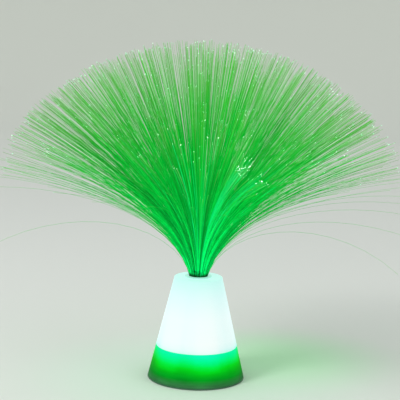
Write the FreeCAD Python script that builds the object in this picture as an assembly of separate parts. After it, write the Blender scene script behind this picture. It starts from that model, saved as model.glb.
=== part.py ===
# Battery lamp with a spray of optical fibres standing in a lit cone.
#
# The lamp stands on the plane z = 0 with its axis on Z, and its front faces -Y. All sizes are in
# millimetres. A conical housing, a white diffuser over a green band, is closed from below by a round
# plate whose well holds three AA cells. A small board on the well's roof carries the light sources. One
# of them shines into the lower end of a bundle of fibres, which a ferrule binds and which lifts out of a
# socket in the diffuser. Above the ferrule the fibres part and bend outwards, each in its own upright plane.
import FreeCAD
import Part

import math
import os

V = FreeCAD.Vector
UP = V(0, 0, 1)
square_turn = ((-1, -1), (1, -1), (1, 1), (-1, 1))  # corners of a square, in turn

# Housing
foot_radius = 43.6  # outer cone carried down to the table
cone_taper = 0.24  # radius lost per mm of height
cone_height = 92.5  # the diffuser's flat top
band_top = 30.0  # seam between band and diffuser
band_wall = 2.0
diffuser_wall = 1.8
diffuser_roof = 2.4
shoulder_bevel = 0.8
fit_gap = 0.15  # between mouldings that slide or seat in each other
inside_facets = 24  # the housing's inside is faceted, to spread the light

# Snap hooks that hold the diffuser in the band
snap_angles = (45.0, 135.0, 225.0, 315.0)
snap_width = 7.0
snap_thickness = 1.4
snap_depth = 6.0  # below the seam
snap_root = 4.0  # above the seam
snap_nose = 2.0  # height of the nose
snap_catch = 0.7

# Underside plate
pad_height = 0.5  # pads below the plate
plate_thickness = 2.4
lip_height = 1.0  # edge of the plate that shows under the band
rim_height = 2.2
rim_wall = 1.4

# Screws that hold the plate to the band
boss_radius = 3.0
boss_height = 13.8
boss_web = 1.6
boss_inset = 7.4  # from the foot's edge to a screw's axis
boss_angles = (0.0, 180.0)
screw_radius = 1.2
screw_head_radius = 2.7
screw_head_height = 1.1
screw_length = 9.0
screw_clearance = 0.4
thread_gap = 0.05  # stands for the thread that the screw cuts

# Anti-slip pads
pad_side = 6.5
pad_inset = 6.5  # from the foot's edge to a pad's middle
pad_angles = (60.0, 120.0, 240.0, 300.0)

# AA cells and the well that holds them
cell_radius = 7.25
cell_length = 50.5
cell_nub_radius = 2.75
cell_nub_height = 1.4
cell_pitch = 15.0
cell_count = 3
cell_floor_gap = 0.3
cell_side_gap = 0.35
well_wall = 1.4
slot_margin = 1.0  # by which a cut runs past the wall that it opens
well_roof = 1.5
well_corner = 2.0
contact_thickness = 0.4
contact_height = 8.0
spring_room = 3.5  # length of a compressed contact spring
spring_wire = 0.7
spring_turns = 2.5
spring_segments = 6  # straight lengths that stand for one turn
spring_radius = 3.4
spring_top_radius = 2.2
tail_width = 3.0
tail_height = 2.0  # above the well's roof
tail_shift = 2.0  # from the outer cells' middle towards the axis
rib_thickness = 1.2
rib_depth = 3.5
rib_length = 40.0

# Battery door
door_thickness = 1.6
door_ledge = 0.8
door_gap = 0.25
hook_width = 3.0
hook_thickness = 1.4
hook_reach = 1.0  # past the well's end wall
hook_post = 1.6
hook_lift = 0.2  # over the plate's inner face
hook_slot_gap = 0.4
hook_swing_room = 1.0  # above a hook, for the door to swing
latch_width = 8.0
latch_thickness = 1.2
latch_height = 2.2
nail_scoop_radius = 9.0
nail_scoop_depth = 1.1

# Board and light sources
board_size = (30.0, 22.0, 1.6)
board_lift = 2.5  # over the well's roof
clip_width = 6.0
clip_thickness = 1.4
clip_shelf = 1.5
clip_catch = 0.6
centre_led_radius = 4.0
centre_led_height = 11.0
centre_led_crown = 1.4  # width and height of its taper
side_led_size = (5.0, 5.0, 1.6)
side_led_spots = ((10.5, 0.0), (-10.5, 0.0), (0.0, 7.8), (0.0, -7.8))
chip_size = (5.0, 4.0, 1.5)
resistor_size = (3.2, 1.6, 0.6)
resistor_spots = ((-8.0, -4.0), (-8.0, 4.0), (8.0, 0.0))

# Slide switch
switch_inset = 12.5  # from the foot's edge to the switch's middle
switch_size = (11.0, 5.4, 4.4)
switch_flange = (17.6, 5.4, 0.7)
peg_x = 7.2
peg_side = 1.6
peg_head = 2.6
peg_head_height = 0.6
melt_gap = 0.05  # between a peg's melted head and the flange
switch_travel = 2.0
knob_size = (2.0, 1.8)
knob_block = (4.0, 3.4, 1.9)
knob_tip_inset = 0.3  # above the plate's underside
knob_groove = 0.2
switch_floor = 1.0
switch_slot_gap = 0.3
dish_margin = 3.0
dish_depth = 0.9
lug_size = (0.6, 1.6, 2.0)
lug_x = 3.0

# Lead wires inside the housing
wire_width = 1.2
wire_bend = 4.0
wire_rise = 4.5  # from a lead's higher end to the top of its arch
switched_spot = (-8.0, 8.5)
negative_spot = (-12.0, -8.0)

# Ferrule and bundle
bundle_radius = 8.5
bundle_foot = 34.5  # polished lower end of the fibres
bundle_inset = 0.3  # below the ferrule's rim
bond_gap = 0.05  # between fibres and ferrule
ferrule_wall = 0.85
flange_radius = 12.0
flange_thickness = 0.8
socket_wall = 1.1
socket_end = 40.0  # lower end of the socket's tube

# Spray of fibres
strand_length = 211.0
strand_width = 0.7
strand_rim = 0.2  # bundle's edge to the outermost strand
root_lean = 12.0  # lean of an outermost strand at its root, in degrees from upright
bend_lean = 54.0  # further lean that it gains on its way
bend_length = 55.0  # distance over which most of that bend is done
spray_droop = 3.0  # lean that weight adds to an outermost strand at its tip
stray_count = 12
stray_share = 1.16  # lean of a stray against an outermost strand
stray_droop = 12.0
golden_angle = 137.50776
stray_runs = 5
strand_groups = (  # node, number of strands, straight runs in each
    ("fibre_strands_inner", 36, 3),
    ("fibre_strands_middle", 46, 3),
    ("fibre_strands_outer", 56, 4),
)

boss_circle = foot_radius - boss_inset
pad_circle = foot_radius - pad_inset
switch_y = foot_radius - switch_inset
positive_spot = (lug_x, switch_y)

plate_bottom = pad_height
plate_top = plate_bottom + plate_thickness
band_foot = plate_bottom + lip_height
door_top = plate_bottom + door_thickness
cell_axis_z = door_top + cell_floor_gap + cell_radius
well_half_width = cell_pitch * (cell_count - 1) / 2 + cell_radius + cell_side_gap
well_half_length = (cell_length + spring_room) / 2 + contact_thickness
well_end = well_half_length + well_wall
well_ceiling = cell_axis_z + cell_radius + cell_floor_gap
well_top = well_ceiling + well_roof
contact_half_width = cell_radius + cell_side_gap - well_corner - fit_gap
board_bottom = well_top + board_lift
board_top = board_bottom + board_size[2]
ferrule_radius = bundle_radius + bond_gap + ferrule_wall
ferrule_top = cone_height + flange_thickness
bundle_top = ferrule_top - bundle_inset
socket_bore = ferrule_radius + fit_gap
cell_rows = [(i - (cell_count - 1) / 2) * cell_pitch for i in range(cell_count)]
gap_rows = [(a + b) / 2 for a, b in zip(cell_rows, cell_rows[1:])]
tail_y = cell_rows[-1] - tail_shift


def outer_radius(z):
    """Outer radius of the housing's cone at height z."""
    return foot_radius - cone_taper * z


def flat_radius(z, wall):
    """Distance from the axis to a facet of the housing's inside at height z."""
    return (outer_radius(z) - wall) * math.cos(math.pi / inside_facets)


def around(radius, angle, z=0.0):
    """The point at that radius, angle in degrees and height."""
    turn = math.radians(angle)
    return V(radius * math.cos(turn), radius * math.sin(turn), z)


def turned(outline):
    """Solid of revolution about Z from an outline of (radius, height) points."""
    points = [V(r, 0, z) for r, z in outline]
    return Part.Face(Part.makePolygon(points + points[:1])).revolve(V(0, 0, 0), UP, 360)


def faceted(z0, z1, wall):
    """Tapered prism that fills the housing's inside from z0 to z1, with the given wall left round it."""
    turns = [360 * (i + 0.5) / inside_facets for i in range(inside_facets + 1)]
    low = [around(outer_radius(z0) - wall, turn, z0) for turn in turns]
    high = [around(outer_radius(z1) - wall, turn, z1) for turn in turns]
    sides = [[low[i], low[i + 1], high[i + 1], high[i], low[i]] for i in range(inside_facets)]
    faces = [Part.Face(Part.makePolygon(outline)) for outline in sides + [low, high]]
    return Part.makeSolid(Part.makeShell(faces))


def block(x0, x1, y0, y1, z0, z1):
    """Box between two corners."""
    return Part.makeBox(x1 - x0, y1 - y0, z1 - z0, V(x0, y0, z0))


def centred_block(size, centre_x, centre_y, z0):
    """Box of that size, centred in plan, that stands on z0."""
    x, y, z = size
    return Part.makeBox(x, y, z, V(centre_x - x / 2, centre_y - y / 2, z0))


def rod(radius, height, foot):
    """Upright cylinder that stands on the point foot."""
    return Part.makeCylinder(radius, height, foot, UP)


def rounded_block(half_x, half_y, corner, z0, z1):
    """Box centred on the axis with round upright corners."""
    box = block(-half_x, half_x, -half_y, half_y, z0, z1)
    upright = [e for e in box.Edges if abs(e.tangentAt(e.FirstParameter).z) > 0.99]
    return box.makeFillet(corner, upright)


def extruded(profile, width, angle=0.0):
    """Bar of that width from a profile of (radius, height) points in the upright plane at that angle."""
    points = [V(r, -width / 2, z) for r, z in profile]
    bar = Part.Face(Part.makePolygon(points + points[:1])).extrude(V(0, width, 0))
    bar.rotate(V(0, 0, 0), UP, angle)
    return bar


def radial_block(r0, r1, width, z0, z1, angle):
    """Box that runs outwards from r0 to r1 at that angle."""
    return extruded([(r0, z0), (r1, z0), (r1, z1), (r0, z1)], width, angle)


def mitred(points, section):
    """Bar along straight runs with mitred corners, from a section drawn at the first point."""
    return Part.makePolygon(points).makePipeShell([section], True, False, 1)


def joined(shapes):
    """One solid from shapes that touch or overlap."""
    first, *others = shapes
    return first.fuse(others).removeSplitter()


# ---- Housing


def make_band():
    """Green band: a conical ring with screw bosses and pockets for the diffuser's hooks."""
    shell = turned([
        (0, band_foot),
        (outer_radius(band_foot), band_foot),
        (outer_radius(band_top), band_top),
        (0, band_top),
    ])
    ring = shell.cut(faceted(band_foot, band_top, band_wall))
    boss_top = plate_top + boss_height
    pieces = [ring]
    for angle in boss_angles:
        foot = around(boss_circle, angle, plate_top)
        web = radial_block(boss_circle, foot_radius, boss_web, plate_top, boss_top, angle)
        boss = rod(boss_radius, boss_height, foot).fuse(web)
        pieces.append(boss.common(faceted(plate_top, boss_top, band_wall / 2)))
    band = joined(pieces)
    for angle in boss_angles:
        band = band.cut(rod(screw_radius + thread_gap, screw_length, around(boss_circle, angle, plate_top)))
    nose_low, nose_high = snap_levels()
    pocket_foot = band_top - snap_depth - fit_gap
    pocket_top = nose_high + fit_gap
    pocket_width = snap_width + 2 * fit_gap
    face = flat_radius(nose_low, band_wall)
    for angle in snap_angles:
        catch = face + snap_catch
        pocket = radial_block(face - slot_margin, catch, pocket_width, pocket_foot, pocket_top, angle)
        band = band.cut(pocket)
    return band


def snap_levels():
    """Lower and upper height of the hooks' noses."""
    low = band_top - snap_depth + snap_thickness
    return low, low + snap_nose


def snap_profile():
    """Outline of a snap hook, from the wall of the diffuser down along the inside of the band."""
    nose_low, nose_high = snap_levels()
    foot_z = band_top - snap_depth
    root_z = band_top + snap_root

    def face(z):
        return flat_radius(z, band_wall) - fit_gap

    return [
        (face(foot_z) - snap_thickness, foot_z),
        (face(foot_z), foot_z),
        (flat_radius(nose_low, band_wall) + snap_catch - 2 * fit_gap, nose_low),
        (flat_radius(nose_low, band_wall) + snap_catch - 2 * fit_gap, nose_high),
        (face(nose_high), nose_high),
        (face(band_top), band_top),
        (outer_radius(band_top) - diffuser_wall / 2, band_top),
        (outer_radius(root_z) - diffuser_wall / 2, root_z),
        (face(root_z) - snap_thickness, root_z),
    ]


def make_diffuser():
    """White cone with a flat top, a tube that takes the ferrule, and hooks that snap into the band."""
    shoulder_z = cone_height - shoulder_bevel
    roof_z = cone_height - diffuser_roof
    cone = turned([
        (0, band_top),
        (outer_radius(band_top), band_top),
        (outer_radius(shoulder_z), shoulder_z),
        (outer_radius(shoulder_z) - shoulder_bevel, cone_height),
        (0, cone_height),
    ])
    cone = cone.cut(faceted(band_top, roof_z, diffuser_wall))
    tube = rod(socket_bore + socket_wall, cone_height - diffuser_roof / 2 - socket_end, V(0, 0, socket_end))
    hooks = [extruded(snap_profile(), snap_width, angle) for angle in snap_angles]
    return joined([cone, tube] + hooks).cut(rod(socket_bore, cone_height, V(0, 0, 0)))


def make_plate():
    """Round underside plate that fits into the band, with the battery well, door recess, clips and rim."""
    rim_top = plate_top + rim_height
    disc = turned([
        (0, plate_bottom),
        (outer_radius(plate_bottom), plate_bottom),
        (outer_radius(band_foot), band_foot),
        (0, band_foot),
    ])
    rim_out = band_wall + fit_gap
    core = faceted(plate_bottom, plate_top, rim_out)
    rim = faceted(plate_bottom, rim_top, rim_out).cut(faceted(plate_bottom, rim_top, rim_out + rim_wall))
    notch = 2 * (boss_radius + screw_clearance)
    for angle in boss_angles:
        rim = rim.cut(radial_block(boss_circle - notch, foot_radius, notch, plate_top, rim_top, angle))
    well_side = well_half_width + well_wall
    well = rounded_block(well_end, well_side, well_corner + well_wall, plate_bottom, well_top)
    well = well.common(faceted(plate_bottom, well_top, rim_out))
    plate = joined([disc, core, rim, well] + board_clips())
    recess_x = well_half_length + door_ledge
    recess_y = well_half_width + door_ledge
    cuts = [
        rounded_block(well_half_length, well_half_width, well_corner, 0, well_ceiling),
        rounded_block(recess_x, recess_y, well_corner, 0, door_top),
    ]
    for angle in boss_angles:
        seat = around(boss_circle, angle)
        cuts.append(rod(screw_radius + screw_clearance, plate_top, seat))
        cuts.append(rod(screw_head_radius + screw_clearance, screw_seat(), seat))
    plate = plate.cut(cuts + hook_slots() + [nail_scoop()] + switch_openings() + tail_slots())
    rib = (rib_length, rib_thickness, rib_depth + well_roof / 2)
    ribs = [centred_block(rib, 0, y, well_ceiling - rib_depth) for y in gap_rows]
    return joined([plate] + ribs + switch_pegs())


def screw_seat():
    """Height of the case screws' seats."""
    return plate_bottom + screw_head_height + fit_gap


def hook_slots():
    """Slots in the well's end wall for the door's hooks, with room for them to swing."""
    half = hook_width / 2 + hook_slot_gap
    top = plate_top + hook_lift + hook_thickness + hook_swing_room
    x0 = -well_end - slot_margin
    x1 = -well_half_length + slot_margin
    return [block(x0, x1, y - half, y + half, plate_top, top) for y in gap_rows]


def nail_scoop():
    """Hollow beside the door's free end, for a fingernail."""
    foot = V(well_end, -latch_width / 2, plate_bottom - nail_scoop_radius + nail_scoop_depth)
    return Part.makeCylinder(nail_scoop_radius, latch_width, foot, V(0, 1, 0))


def switch_openings():
    """Slot for the switch's knob, and the sloping dish round it."""
    length = knob_size[0] + switch_travel + 4 * switch_slot_gap
    width = knob_size[1] + 4 * switch_slot_gap
    slot = centred_block((length, width, plate_top), 0, switch_y, 0)
    rings = []
    for margin, z in ((dish_margin, plate_bottom), (dish_margin / 2, plate_bottom + dish_depth)):
        x, y = length / 2 + margin, width / 2 + margin
        corners = [V(x * a, switch_y + y * b, z) for a, b in square_turn]
        rings.append(Part.makePolygon(corners + corners[:1]))
    return [slot, Part.makeLoft(rings, True, True)]


def switch_pegs():
    """Square pegs whose heads were melted over the switch's flange."""
    foot_z = plate_top - plate_thickness / 2
    head_z = plate_top + switch_flange[2] + melt_gap
    stem = (peg_side, peg_side, head_z - foot_z)
    head = (peg_head, peg_head, peg_head_height)
    pegs = []
    for side in (-1, 1):
        x = side * peg_x
        pegs.append(centred_block(stem, x, switch_y, foot_z).fuse(centred_block(head, x, switch_y, head_z)))
    return pegs


def tail_slots():
    """Slots in the well's roof for the tails of the two end contacts."""
    half = tail_width / 2 + fit_gap
    x0 = well_half_length - contact_thickness - fit_gap
    return [
        block(x0, well_half_length, tail_y - half, tail_y + half, well_ceiling, well_top),
        block(-well_half_length, -x0, -tail_y - half, -tail_y + half, well_ceiling, well_top),
    ]


def board_clips():
    """Two clips that carry the board's ends and snap over them."""
    edge = board_size[0] / 2 + fit_gap
    nose_z = board_top + fit_gap
    profile = [
        (edge - clip_shelf, well_top - well_roof / 2),
        (edge + clip_thickness, well_top - well_roof / 2),
        (edge + clip_thickness, nose_z + clip_catch),
        (edge, nose_z + 2 * clip_catch),
        (edge - clip_catch, nose_z),
        (edge, nose_z),
        (edge, board_bottom),
        (edge - clip_shelf, board_bottom),
    ]
    return [extruded(profile, clip_width, angle) for angle in (0, 180)]


def make_pads():
    """Square pads glued under the plate."""
    inner = pad_circle - pad_side / 2
    return [radial_block(inner, inner + pad_side, pad_side, 0, pad_height, angle) for angle in pad_angles]


def make_case_screws():
    """Screws that draw the plate up against the band."""
    screws = []
    for angle in boss_angles:
        seat = around(boss_circle, angle, screw_seat())
        shank = rod(screw_radius, screw_length, seat)
        head = rod(screw_head_radius, screw_head_height, seat - UP * screw_head_height)
        screws.append(joined([shank, head]))
    return screws


# ---- Battery door


def make_door():
    """Flat door with two hooks at one end and a springy tongue at the other."""
    half_x = well_half_length + door_ledge - door_gap
    half_y = well_half_width + door_ledge - door_gap
    panel = rounded_block(half_x, half_y, well_corner, plate_bottom, door_top)
    hook_z = plate_top + hook_lift
    post_x = well_half_length - door_gap
    root_z = door_top - door_thickness / 4
    pieces = [panel]
    hook = [
        (post_x - hook_post, root_z),
        (post_x, root_z),
        (post_x, hook_z),
        (well_end + hook_reach, hook_z),
        (well_end + hook_reach, hook_z + hook_thickness),
        (post_x - hook_post, hook_z + hook_thickness),
    ]
    for y in gap_rows:
        arm = extruded(hook, hook_width, 180)
        arm.translate(V(0, y, 0))
        pieces.append(arm)
    tongue = radial_block(post_x - latch_thickness, post_x, latch_width, root_z, door_top + latch_height, 0)
    return joined(pieces + [tongue])


# ---- Cells and contacts


def make_cell(row, nub_towards):
    """AA cell that lies along X, its nub pointing to +X or -X."""
    shoulder = cell_length - cell_nub_height
    cell = turned([
        (0, 0),
        (cell_radius, 0),
        (cell_radius, shoulder),
        (cell_nub_radius, shoulder),
        (cell_nub_radius, cell_length),
        (0, cell_length),
    ])
    cell.rotate(V(0, 0, 0), V(0, 1, 0), 90 * nub_towards)
    foot = (well_half_length - contact_thickness - cell_length) * nub_towards
    cell.translate(V(foot, cell_rows[row], cell_axis_z))
    return cell


def contact_plate(end, first_row, last_row):
    """Flat contact against an end wall of the well, over the cells from one row to another."""
    x0, x1 = sorted((end * well_half_length, end * (well_half_length - contact_thickness)))
    y0 = cell_rows[first_row] - contact_half_width
    y1 = cell_rows[last_row] + contact_half_width
    return block(x0, x1, y0, y1, cell_axis_z - contact_height / 2, cell_axis_z + contact_height / 2)


def end_contact(end, row):
    """Contact of the first or last cell, with a tail that comes out through the well's roof."""
    x = end * (well_half_length - contact_thickness / 2)
    tail = (contact_thickness, tail_width, well_top + tail_height - cell_axis_z)
    return joined([contact_plate(end, row, row), centred_block(tail, x, end * tail_y, cell_axis_z)])


def contact_spring(row, end):
    """Conical spring between a contact and a cell's flat end."""
    length = spring_room - 2 * fit_gap - spring_wire
    count = round(spring_turns * spring_segments)
    points = []
    for i in range(count + 1):
        part = i / count
        radius = spring_radius + (spring_top_radius - spring_radius) * part
        points.append(around(radius, 360 * spring_turns * part, length * part))
    half = spring_wire / 2
    ahead = (points[1] - points[0]).normalize()
    side = ahead.cross(UP).normalize() * half
    rise = side.cross(ahead).normalize() * half
    corners = [points[0] + side * a + rise * b for a, b in square_turn]
    coil = mitred(points, Part.makePolygon(corners + corners[:1]))
    coil.rotate(V(0, 0, 0), V(0, 1, 0), -90 * end)
    wall = end * (well_half_length - contact_thickness - fit_gap - half)
    coil.translate(V(wall, cell_rows[row], cell_axis_z))
    return coil


# ---- Board, light sources and switch


def make_centre_led():
    """Upright LED with a tapered crown."""
    crown = centre_led_height - centre_led_crown
    led = turned([
        (0, 0),
        (centre_led_radius, 0),
        (centre_led_radius, crown),
        (centre_led_radius - centre_led_crown, centre_led_height),
        (0, centre_led_height),
    ])
    led.translate(V(0, 0, board_top))
    return led


def make_switch_body():
    """Slide switch: a cased body on a flange, hollow for its slider, with two solder lugs."""
    body = centred_block(switch_size, 0, switch_y, plate_top)
    flange = centred_block(switch_flange, 0, switch_y, plate_top)
    lugs = [centred_block(lug_size, side * lug_x, switch_y, plate_top + switch_size[2]) for side in (-1, 1)]
    block_x, block_y, block_z = knob_block
    room = (block_x + switch_travel + 2 * fit_gap, block_y + 2 * fit_gap, block_z + 2 * fit_gap)
    stem_x, stem_y = knob_size
    slot = (stem_x + switch_travel + 2 * switch_slot_gap, stem_y + 2 * switch_slot_gap, switch_floor)
    hole = (peg_side + 2 * fit_gap, peg_side + 2 * fit_gap, switch_flange[2])
    cuts = [centred_block(room, 0, switch_y, plate_top + switch_floor)]
    cuts.append(centred_block(slot, 0, switch_y, plate_top))
    cuts += [centred_block(hole, side * peg_x, switch_y, plate_top) for side in (-1, 1)]
    return joined([body, flange] + lugs).cut(cuts)


def make_knob():
    """The switch's slider, set to on, with a grooved tip in the plate's dish."""
    on_x = switch_travel / 2
    block_z = plate_top + switch_floor + fit_gap
    tip_z = plate_bottom + knob_tip_inset
    slider = centred_block(knob_block, on_x, switch_y, block_z)
    stem = centred_block((*knob_size, block_z - tip_z), on_x, switch_y, tip_z)
    groove = (knob_groove, knob_size[1], knob_groove)
    spots = [on_x + knob_size[0] * i / 4 for i in (-1, 0, 1)]
    return joined([slider, stem]).cut([centred_block(groove, x, switch_y, tip_z) for x in spots])


def lead_wire(start, end):
    """Lead that rises from one point, arches over and comes down on the other, in one upright plane."""
    top = max(start.z, end.z) + wire_rise
    across = V(end.x - start.x, end.y - start.y, 0).normalize()
    side = across.cross(UP) * (wire_width / 2)
    slant = wire_bend * (1 - math.sqrt(0.5))
    rise_end = V(start.x, start.y, top - wire_bend)
    fall_start = V(end.x, end.y, top - wire_bend)
    over_start = V(start.x, start.y, top) + across * wire_bend
    over_end = V(end.x, end.y, top) - across * wire_bend
    first_middle = V(start.x, start.y, top - slant) + across * slant
    last_middle = V(end.x, end.y, top - slant) - across * slant
    path = Part.Wire([
        Part.LineSegment(start, rise_end).toShape(),
        Part.Arc(rise_end, first_middle, over_start).toShape(),
        Part.LineSegment(over_start, over_end).toShape(),
        Part.Arc(over_end, last_middle, fall_start).toShape(),
        Part.LineSegment(fall_start, end).toShape(),
    ])
    reach = across * (wire_width / 2)
    corners = [start + side + reach, start - side + reach, start - side - reach, start + side - reach]
    return path.makePipeShell([Part.makePolygon(corners + corners[:1])], True, False)


def make_wires():
    """Leads from the end contacts to the switch and the board."""
    tail_x = well_half_length - contact_thickness / 2
    tail_z = well_top + tail_height
    lug_z = plate_top + switch_size[2] + lug_size[2]
    return {
        "wire_positive": lead_wire(V(tail_x, tail_y, tail_z), V(*positive_spot, lug_z)),
        "wire_switched": lead_wire(V(-lug_x, switch_y, lug_z), V(*switched_spot, board_top)),
        "wire_negative": lead_wire(V(-tail_x, -tail_y, tail_z), V(*negative_spot, board_top)),
    }


# ---- Ferrule and bundle


def make_ferrule():
    """Sleeve that binds the fibres, with a flange that rests on the diffuser's top."""
    bore = bundle_radius + bond_gap
    return turned([
        (bore, bundle_foot),
        (ferrule_radius, bundle_foot),
        (ferrule_radius, cone_height),
        (flange_radius, cone_height),
        (flange_radius, ferrule_top),
        (bore, ferrule_top),
    ])


def make_bundle():
    """The packed length of the fibres, from the polished foot to where they part."""
    return rod(bundle_radius, bundle_top - bundle_foot, V(0, 0, bundle_foot))


# ---- Spray


def strand_lean(s, share, droop):
    """Angle from upright, in radians, at the distance s along a strand."""
    bent = share * (root_lean + bend_lean * (1 - math.exp(-s / bend_length)))
    return math.radians(bent + droop * (s / strand_length) ** 2)


def make_strand(root_radius, angle, share, droop, runs):
    """One strand: a thin three-sided bar in straight runs, short near the root where the bend is tight."""
    radius, height, s = root_radius, bundle_top, 0.0
    points = [around(radius, angle, height)]
    steps = 10
    for run in range(1, runs + 1):
        ds = (strand_length * (run / runs) ** 1.6 - s) / steps
        for _ in range(steps):
            lean = strand_lean(s + ds / 2, share, droop)
            radius += math.sin(lean) * ds
            height += math.cos(lean) * ds
            s += ds
        points.append(around(radius, angle, height))
    ahead = (points[1] - points[0]).normalize()
    side = around(1, angle + 90)
    out = side.cross(ahead)
    size = strand_width / math.sqrt(3)
    turns = [math.radians(a) for a in (90, 210, 330)]
    corners = [points[0] + (side * math.cos(t) + out * math.sin(t)) * size for t in turns]
    return mitred(points, Part.makePolygon(corners + corners[:1]))


def make_spray():
    """Groups of strands whose roots fill the bundle's end on a sunflower spiral, and a ring of strays."""
    total = sum(count for _, count, _ in strand_groups)
    root_edge = bundle_radius - strand_rim - strand_width
    groups = {}
    index = 0
    for name, count, runs in strand_groups:
        strands = []
        for _ in range(count):
            share = math.sqrt((index + 0.5) / total)
            angle = index * golden_angle
            strands.append(make_strand(root_edge * share, angle, share, spray_droop * share, runs))
            index += 1
        groups[name] = strands
    strays = []
    for i in range(stray_count):
        angle = (i + 0.5) * 360 / stray_count
        droop = stray_droop * (1 + i % 3)
        strays.append(make_strand(root_edge + strand_width / 2, angle, stray_share, droop, stray_runs))
    groups["fibre_strands_stray"] = strays
    return groups


# ---- Assembly


def main():
    middle = cell_count // 2
    last = cell_count - 1
    under_chip = board_bottom - chip_size[2]
    under_resistors = board_bottom - resistor_size[2]
    parts = {
        "green_band": make_band(),
        "diffuser_cone": make_diffuser(),
        "base_plate": make_plate(),
        "foot_pads": make_pads(),
        "case_screws": make_case_screws(),
        "battery_door": make_door(),
        "battery_front": make_cell(0, 1),
        "battery_middle": make_cell(middle, -1),
        "battery_back": make_cell(last, 1),
        "contact_positive": end_contact(1, last),
        "contact_negative": end_contact(-1, 0),
        "contact_bridge_right": contact_plate(1, 0, middle),
        "contact_bridge_left": contact_plate(-1, middle, last),
        "contact_springs": [contact_spring(0, -1), contact_spring(middle, 1), contact_spring(last, -1)],
        "led_board": centred_block(board_size, 0, 0, board_bottom),
        "centre_led": make_centre_led(),
        "side_leds": [centred_block(side_led_size, x, y, board_top) for x, y in side_led_spots],
        "controller_chip": centred_block(chip_size, 0, 0, under_chip),
        "board_resistors": [centred_block(resistor_size, x, y, under_resistors) for x, y in resistor_spots],
        "switch_body": make_switch_body(),
        "switch_knob": make_knob(),
        "spray_ferrule": make_ferrule(),
        "fibre_bundle": make_bundle(),
    }
    parts.update(make_wires())
    parts.update(make_spray())
    os.makedirs("parts", exist_ok=True)
    for name, made in parts.items():
        shape = Part.makeCompound(made) if isinstance(made, list) else made
        shape.exportStep(os.path.join("parts", name + ".step"))


main()
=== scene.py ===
import math

import bpy
import numpy as np
from mathutils import Matrix, Vector


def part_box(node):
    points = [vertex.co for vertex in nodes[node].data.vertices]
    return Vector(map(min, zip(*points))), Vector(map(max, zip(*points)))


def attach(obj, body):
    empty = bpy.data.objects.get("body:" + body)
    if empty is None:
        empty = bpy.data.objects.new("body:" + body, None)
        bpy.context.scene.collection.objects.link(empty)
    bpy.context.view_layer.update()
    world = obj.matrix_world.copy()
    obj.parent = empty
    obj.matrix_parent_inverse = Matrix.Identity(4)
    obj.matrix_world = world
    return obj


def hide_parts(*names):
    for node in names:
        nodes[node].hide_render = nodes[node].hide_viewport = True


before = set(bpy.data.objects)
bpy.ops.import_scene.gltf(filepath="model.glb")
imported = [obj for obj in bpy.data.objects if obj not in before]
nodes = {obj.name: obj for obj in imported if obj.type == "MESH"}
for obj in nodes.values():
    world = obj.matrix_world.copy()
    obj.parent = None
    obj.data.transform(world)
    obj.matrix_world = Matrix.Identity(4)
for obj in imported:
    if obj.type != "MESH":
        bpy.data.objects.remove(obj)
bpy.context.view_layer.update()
print("frame loaded,", len(nodes), "nodes")

mm = 0.001


# camera: the lamp's own tilt in the view comes from a slight roll


cameraView = {
    "place": (-0.0006, -1.1077, 0.3319),
    "tiltDown": 8.74,  # degrees
    "roll": 1.656,
    "lens": 113.8,
    "reach": (0.02, 20),  # metres, nearest and farthest
}


def makeCamera():
    data = bpy.data.cameras.new("camera")
    data.lens = cameraView["lens"]
    data.clip_start, data.clip_end = cameraView["reach"]
    camera = bpy.data.objects.new("camera", data)
    bpy.context.scene.collection.objects.link(camera)
    tilt = Matrix.Rotation(math.radians(90 - cameraView["tiltDown"]), 4, "X")
    roll = Matrix.Rotation(math.radians(cameraView["roll"]), 4, "Z")
    camera.matrix_world = Matrix.Translation(cameraView["place"]) @ tilt @ roll
    bpy.context.scene.camera = camera


# small helpers for node materials


socketNames = {
    "color": "Base Color", "rough": "Roughness", "metal": "Metallic", "specular": "Specular IOR Level",
    "coat": "Coat Weight", "coatRough": "Coat Roughness", "sheen": "Sheen Weight",
    "glow": "Emission Color", "glowPower": "Emission Strength",
}


def newMaterial(name, **sockets):
    material = bpy.data.materials.new(name)
    material.use_nodes = True
    shader = material.node_tree.nodes["Principled BSDF"]
    for key, value in sockets.items():
        shader.inputs[socketNames[key]].default_value = value
    return material, material.node_tree, shader


def feed(tree, shader, key, output):
    tree.links.new(output, shader.inputs[socketNames[key]])


def addNode(tree, kind, inputs=(), **settings):
    node = tree.nodes.new("ShaderNode" + kind)
    for key, value in settings.items():
        setattr(node, key, value)
    for key, value in dict(inputs).items():
        if isinstance(value, bpy.types.NodeSocket):
            tree.links.new(value, node.inputs[key])
        else:
            node.inputs[key].default_value = value
    return node


def math2(tree, operation, a, b=0.0):
    return addNode(tree, "Math", {0: a, 1: b}, operation=operation).outputs[0]


def times(tree, a, b):
    return math2(tree, "MULTIPLY", a, b)


def plus(tree, a, b):
    return math2(tree, "ADD", a, b)


def vectorMath(tree, operation, a, b=(0, 0, 0)):
    # its outputs are Vector and Value
    return addNode(tree, "VectorMath", {0: a, 1: b}, operation=operation).outputs


def objectPlace(tree):
    return addNode(tree, "TexCoord").outputs["Object"]


def axisOf(tree, axis):
    return addNode(tree, "SeparateXYZ", {0: objectPlace(tree)}).outputs[axis]


def share(tree, value, low, high, smooth=False):
    # 0 at low, 1 at high
    kind = "SMOOTHSTEP" if smooth else "LINEAR"
    inputs = {"Value": value, "From Min": low, "From Max": high}
    return addNode(tree, "MapRange", inputs, interpolation_type=kind).outputs["Result"]


def between(tree, value, low, high):
    # low where the value is 0, high where it is 1
    return addNode(tree, "MapRange", {"Value": value, "To Min": low, "To Max": high}).outputs["Result"]


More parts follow.
